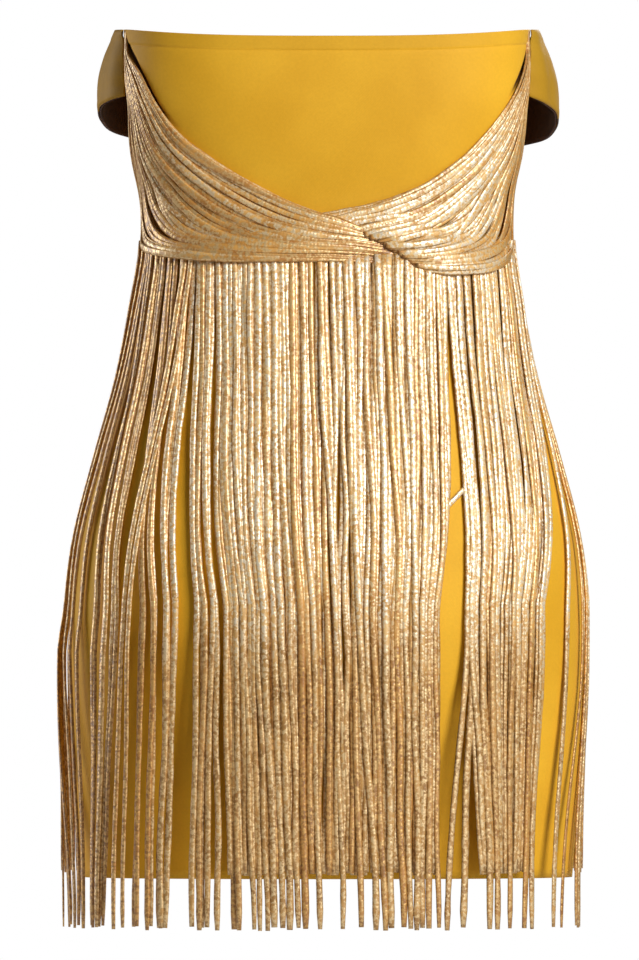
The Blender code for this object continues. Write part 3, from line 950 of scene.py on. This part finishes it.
def make_swag(name, guides, rise_of, dive_shade_span, seed, tones):
    """A swag: strands in three layers between the bundle's edges."""
    bundle = Bundle(seed)
    chance = bundle.chance
    room = [bundle_width(guides, step / SWAG_STEPS) for step in range(SWAG_STEPS + 1)]
    for count in range(SWAG_STRANDS):
        layer = count % SWAG_LAYERS
        home = (count + 0.5 + chance.uniform(-1.2, 1.2)) / SWAG_STRANDS
        wander, height = chance.uniform(0.008, 0.045), chance.uniform(-0.0006, 0.0010)
        beat, phase = chance.uniform(1.2, 3.2), chance.uniform(0, 6.28)
        plump = chance.uniform(0.80, 1.15)
        own_tone = chance.uniform(*tones)
        rows = []
        for step in range(SWAG_STEPS + 1):
            along = step / SWAG_STEPS
            across = min(max(home + wander * math.sin(beat * math.pi * along + phase), 0.005), 0.995)
            turn, level = swag_spot(guides, across, along)
            full = SWAG_STRANDS / SWAG_LAYERS * STRAND_WIDTH * OVERLAP
            pressed = min(1.0, max(LEAST_PRESSED, room[step] / full))
            near_top = soft_step(-0.03, 0.24, along)
            at_side = 1 - 0.45 * soft_step(70, 88, abs(turn))
            lift = (SWAG_LIFT + layer * LAYER_STEP * pressed + height) * at_side * near_top
            lift += 0.0010 * math.sin(math.pi * across) * near_top + rise_of(across, along)
            lift += 0.0006 * (1 - soft_step(-0.168, -0.150, level))
            lift += 0.0004 * math.sin(3.1 * math.pi * along + phase * 2)
            width = STRAND_WIDTH * pressed * plump * (1 + 0.06 * math.sin(along * 60 + phase))
            depth = SWAG_DEPTH * pressed * plump
            # Painted shade where the strand dives, and on the right swag near the side.
            painted_dive_shade = max(soft_step(*dive_shade_span, along), SIDE_SHADE * soft_step(48, 76, turn))
            rows.append((*on_ring(ring_at(level), turn, level, lift), width, depth, own_tone * (1 - painted_dive_shade)))
        bundle.strand(rows)
    bundle.describe(name)
    return bundle.build(name, strand_cord)


# The left swag's darker tones are painted shade, since the light comes from the right.
swag_left = make_swag("swag_left_strands", LEFT_GUIDES, left_rise, LEFT_DIVE_SHADE, 11, (0.10, 0.52))
swag_right = make_swag("swag_right_strands", RIGHT_GUIDES, right_rise, RIGHT_DIVE_SHADE, 12, (0.22, 1.0))

# %% [markdown]
# ## Fringe
#
# The fringe hangs in locks from three narrow tapes, sewn round the waist. The swags hide them on the side
# that the photograph shows. Gravity and the hips shape the fringe: a strand leaves the tape, spreads out
# over the hips to the widest ring, and from there falls plumb, so it stands clear of the dress at the hem.
# Over a third of the strands that show pass the hem. The others end at it, so the ends below it stand apart
# as in the photograph.

# %% Where strands hang
TAPE_LEVEL = -0.158
TAPE_DIP = 0.011
SEAT_LEVEL = -0.430
LONG_END = -0.6715
SHORT_END = -0.6305
HIP_LEVELS = (-0.205, -0.26, -0.32, -0.38, -0.43)


def widest_ring(level):
    """A free strand never draws in below the widest ring above it."""
    levels = [row for row in HIP_LEVELS if row > level] + [max(level, SEAT_LEVEL)]
    rings = np.array([ring_at(row) for row in levels])
    return np.concatenate([rings[:, :3].max(axis=0), rings[-1, 3:]])


def turn_at(x, level):
    """The turn on the photographed side where a strand is seen at a given x."""
    ring = widest_ring(level)
    share = min(abs(x) / ring[0], 1.0)
    return math.copysign(math.degrees(math.asin(share ** (ring[3] / 2))), x)


def seen(pixel):
    """The x of a column of the photograph."""
    return (pixel - 327) * PIXEL


def tape_level(turn):
    """The tapes dip a little under the twist, so that the swags hide them."""
    return TAPE_LEVEL - TAPE_DIP * math.exp(-(((turn - 12) / 30) ** 2))


def hang_out(turn, level):
    """How far the outermost strands swing out, or in, below the hips."""
    side = math.sin(math.radians(turn)) ** 3
    near_end = 1 - soft_step(-0.62, -0.47, level)
    below_hips = 1 - soft_step(-0.47, -0.425, level)
    if side < 0:
        return -side * (0.0048 * below_hips - 0.0020 * near_end)
    return -0.0050 * side * near_end


print("widest ring", round(2 * widest_ring(SEAT_LEVEL)[0], 3), "m across")

# %% [markdown]
# ### Locks
#
# The lock table follows the photograph from left to right on the side that shows: a dense curtain in the
# middle, golden gaps on both sides of it, and single strands over the hips. The hidden side is alike.

# %% Locks of the fringe
LOCKS_SEEN = (
    # strands, layer, long or short, then first and last column in the photograph at tape, hips and end
    (2, 0, "long", 139, 141, 60, 67, 61, 66),
    (3, 0, "long", 143, 152, 71, 85, 77, 91),
    (2, 1, "long", 145, 151, 66, 80, 80, 88),
    (3, 0, "long", 156, 167, 102, 122, 98, 108),
    (1, 1, "long", 161, 161, 111, 111, 104, 104),
    (2, 2, "long", 190, 195, 129, 137, 121, 130),
    (1, 0, "long", 171, 171, 146, 146, 140, 140),
    (1, 0, "long", 178, 178, 158, 158, 154, 154),
    (2, 0, "long", 188, 195, 171, 176, 161, 170),
    (2, 0, "long", 154, 165, 104, 119, 100, 106),
    (3, 1, "long", 174, 185, 147, 171, 142, 163),
    (3, 1, "long", 200, 210, 199, 214, 195, 208),
    (3, 0, "long", 206, 219, 206, 229, 204, 234),
    (3, 1, "short", 219, 230, 228, 244, 232, 246),
    (1, 1, "long", 226, 226, 238, 238, 241, 241),
    (46, 0, "short", 220, 443, 233, 436, 238, 432),
    (30, 1, "short", 226, 438, 238, 434, 242, 430),
    (8, 2, "long", 236, 292, 246, 300, 254, 307),
    (3, 2, "long", 302, 345, 312, 352, 319, 359),
    (3, 2, "long", 350, 376, 360, 386, 375, 391),
    (6, 2, "long", 384, 436, 396, 433, 401, 434),
    (1, 0, "long", 447, 447, 465, 465, 446, 446),
    (1, 0, "long", 450, 450, 470, 470, 461, 461),
    (14, 0, "short", 452, 508, 467, 538, 480, 528),
    (11, 1, "short", 454, 510, 470, 538, 484, 526),
    (2, 2, "long", 462, 470, 478, 488, 487, 493),
    (1, 2, "long", 484, 484, 506, 506, 504, 504),
    (2, 2, "long", 500, 506, 526, 534, 520, 526),
    (1, 0, "long", 511, 511, 563, 563, 551, 551),
    (1, 0, "long", 513, 513, 577, 577, 561, 561),
    (3, 0, "long", 512, 515, 582, 587, 577, 581),
)
SIDE_LOCKS = (
    # strands, layer, turns at the tape, the seat and the end, first and last
    (6, 0, 93, 112, 93, 112, 93, 112),
    (5, 1, 95, 118, 95, 117, 95, 118),
    (7, 0, 116, 131, 118, 130, 117, 130),
    (36, 0, 134, 226, 135, 225, 135, 225),
    (28, 1, 137, 222, 138, 221, 139, 221),
    (7, 0, 229, 244, 230, 242, 230, 243),
    (6, 0, 247, 267, 248, 267, 248, 267),
    (5, 1, 242, 265, 243, 265, 242, 265),
)


def in_steps(first, last, count):
    """Even steps from first to last, or the middle for one."""
    if count == 1:
        return [(first + last) / 2]
    return [first + (last - first) * step / (count - 1) for step in range(count)]


def strand_turns():
    """Each strand's layer, turns at the tape, the seat and the end, end level, and whether it shows."""
    for count, layer, end_kind, *columns in LOCKS_SEEN:
        levels = (TAPE_LEVEL, TAPE_LEVEL, SEAT_LEVEL, SEAT_LEVEL, LONG_END, LONG_END)
        turns = [turn_at(seen(column), level) for column, level in zip(columns, levels)]
        end_level = LONG_END if end_kind == "long" else SHORT_END
        for root, seat, end in zip(*(in_steps(*turns[at:at + 2], count) for at in (0, 2, 4))):
            yield layer, root, seat, end, end_level, True
    for count, layer, *turns in SIDE_LOCKS:
        for root, seat, end in zip(*(in_steps(*turns[at:at + 2], count) for at in (0, 2, 4))):
            yield layer, root, seat, end, SHORT_END, False


print("strands", [sum(lock[0] for lock in locks) for locks in (LOCKS_SEEN, SIDE_LOCKS)])

# %% [markdown]
# ### Strands and tapes
#
# No two strands hang alike. Each draws its own end, sway, ripple, tone and thickness from its bundle's
# random numbers, which start from a fixed seed, so the dress comes out the same every time.

# %% One strand
FALL_STEPS = 40
DARK_STRANDS = 0.14
DARK_TONES = (0.20, 0.42)
FAIR_TONES = (0.42, 1.0)
LEFT_SHADE = 0.60


def fall(bundle, root, seat, end, end_level, lift, chance):
    """One hanging strand, from the tape to its end."""
    end_level += chance.uniform(-0.0016, 0.0016)
    phase, sway = chance.uniform(0, 6.28), chance.uniform(0.10, 0.60)
    ripple, beat = chance.uniform(0.05, 0.28), chance.uniform(14, 26)
    tone = chance.uniform(*(FAIR_TONES if chance.random() > DARK_STRANDS else DARK_TONES))
    plump, height = chance.uniform(0.80, 1.15), chance.uniform(-0.0004, 0.0005)
    top = tape_level(root)
    rows = []
    for step in range(FALL_STEPS + 1):
        part = step / FALL_STEPS
        level = top + (end_level - top) * part
        if level > SEAT_LEVEL:
            turn = root + (seat - root) * (level - top) / (SEAT_LEVEL - top)
        else:
            turn = seat + (end - seat) * soft_step(SEAT_LEVEL, LONG_END, level)
        turn += sway * math.sin(part * 5.1 + phase) * math.sin(math.pi * min(part * 1.4, 1))
        turn += ripple * math.sin(part * beat + phase * 3)
        rise = 0.0010 + (lift + height) * (0.55 + 0.45 * soft_step(0.0, 0.10, part))
        rise += 0.0006 * math.sin(part * 9 + phase) + hang_out(turn, level)
        swell = 1 + 0.07 * math.sin(part * 70 + phase) + 0.04 * math.sin(part * 133 + phase * 3)
        taper = 1 - 0.25 * soft_step(0.985, 1.0, part)
        width, depth = STRAND_WIDTH * plump * swell * taper, STRAND_DEPTH * plump * taper
        in_shade = soft_step(24, 64, -turn) * (turn < 0)
        shade = max(tone - LEFT_SHADE * in_shade * (1 - 0.5 * part), 0.10)
        rows.append((*on_ring(widest_ring(level), turn, level, rise), width, depth, shade))
    bundle.strand(rows)

# %% Tapes and the loose end
# First turn, last turn and lift of each tape.
TAPES = {"under": (-97, 97, 0.0012), "over": (-62, 57, 0.0024), "front": (93, 267, 0.0012)}
TAPE_WIDTH = 0.007
TAPE_CLOTH = 0.0016
TAPE_TONE = 0.2
TAPE_STEPS = 80
LOOSE_COLUMN = 470
LOOSE_LEVEL = -0.338
LOOSE_RUN = 36
LOOSE_DROP = 0.028
LOOSE_STEPS = 12
LOOSE_SIZE = 0.8


def lay_tape(bundle, first, last, lift):
    """The narrow tape that holds a row of strands."""
    rows = []
    for step in range(TAPE_STEPS + 1):
        turn = first + (last - first) * step / TAPE_STEPS
        level = tape_level(turn) - 0.001
        rows.append((*on_ring(ring_at(level), turn, level, lift), TAPE_WIDTH, TAPE_CLOTH, TAPE_TONE))
    bundle.strand(rows)


def cross_the_gap(bundle):
    """One loose end lies slanting across the right-hand gap, with both its ends under the locks."""
    width, depth = STRAND_WIDTH * LOOSE_SIZE, STRAND_DEPTH * LOOSE_SIZE
    rows = []
    for step in range(LOOSE_STEPS + 1):
        part = step / LOOSE_STEPS
        level = LOOSE_LEVEL - LOOSE_DROP * part
        turn = turn_at(seen(LOOSE_COLUMN - LOOSE_RUN * part), level)
        lift = 0.0018 + 0.0010 * math.sin(math.pi * part)
        rows.append((*on_ring(widest_ring(level), turn, level, lift), width, depth, 1.0))
    bundle.strand(rows)

# %% The fringe
LAYER_LIFTS = (0.0024, 0.0036, 0.0048)
LOOSE = 0.35
SEEDS = {"under": 21, "over": 22, "front": 23}


def hang_fringe():
    """Hang every strand into one of three bundles: under, over and the plain side."""
    bundles = {where: Bundle(seed) for where, seed in SEEDS.items()}
    for layer, root, seat, end, end_level, shown in strand_turns():
        where = "front" if not shown else ("under" if layer == 0 else "over")
        chance = bundles[where].chance
        root, seat, end = (turn + chance.uniform(-LOOSE, LOOSE) for turn in (root, seat, end))
        fall(bundles[where], root, seat, end, end_level, LAYER_LIFTS[layer], chance)
    for where, (first, last, lift) in TAPES.items():
        bundles[where].describe(where)
        lay_tape(bundles[where], first, last, lift)
    cross_the_gap(bundles["under"])
    return {where: bundle.build(f"fringe_{where}_strands", strand_cord) for where, bundle in bundles.items()}


fringe = hang_fringe()

# %% [markdown]
# ## Joining the frame
#
# The visual pieces now take the place of the plain solids. The table lists each piece, the material it takes
# its finish from and the solid it stands for; each piece rides on the dress's one body, and its solid is
# hidden. The two halves of the sheath and the sleeves are sheets, and the size of their flat cut is worked
# out. A panel is as wide as its largest half ring. A sleeve is as long as its hem and as deep as its deepest
# place, with a little more for the seams.

# %% Ride and replace
STANDS_FOR = (
    (sheath_back, "golden_knit", "sheath_back"),
    (sheath_front, "golden_knit", "sheath_front"),
    (sleeves["left"], "golden_knit", "sleeve_left"),
    (sleeves["right"], "golden_knit", "sleeve_right"),
    (sleeves["lining_left"], "dark_lining", "sleeve_lining_left"),
    (sleeves["lining_right"], "dark_lining", "sleeve_lining_right"),
    (swag_left, "metallic_chainette", "swag_left"),
    (swag_right, "metallic_chainette", "swag_right"),
    (fringe["under"], "metallic_chainette", "fringe_back_under"),
    (fringe["over"], "metallic_chainette", "fringe_back_over"),
    (fringe["front"], "metallic_chainette", "fringe_front"),
)
for piece, slot, node in STANDS_FOR:
    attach(piece, "root")
    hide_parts(node)

# %% Sheets and their flat cut
LENGTH_EASE = 1.03
DEPTH_EASE = 1.04


def outer_area(piece):
    """The area of a sheet's outer face, before its wall is made."""
    return sum(face.area for face in piece.data.polygons)


def cap_sizes(label):
    """The length of a sleeve's hem and its greatest depth, laid flat."""
    first, last = LINING_SPAN if "lining" in label else (0.0, 1.0)
    marks = [first + (last - first) * step / 40 for step in range(41)]
    hem = [cap_spot(mark, 1.0, 1) for mark in marks]
    drops = [[cap_spot(mark, down / 10, 1) for down in range(11)] for mark in marks]
    depth = max(sum((b - a).length for a, b in zip(drop, drop[1:])) for drop in drops)
    length = sum((b - a).length for a, b in zip(hem, hem[1:]))
    return (round(LENGTH_EASE * length, 3), round(DEPTH_EASE * depth, 3))


back_width = max(girth(level / 100) for level in range(-63, 1))
front_width = max(girth(level / 100, 90.0, 270.0) for level in range(-63, 1))
for label, piece in sleeves.items():
    cap_sizes(label)
    round(outer_area(piece), 4)
print("back panel", round(back_width, 3), "front panel", round(front_width, 3), "m wide")

# %% [markdown]
# ## Sizes
#
# The last cell prints how far each corner of the finished dress's box lies from the fixed frame's box, in
# millimetres.

# %% Print the sizes and finish
low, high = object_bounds()
for label, here, there in (("lowest", cad_low, low), ("highest", cad_high, high)):
    print(label, [round(1000 * (b - a), 1) for a, b in zip(here, there)], "mm apart")
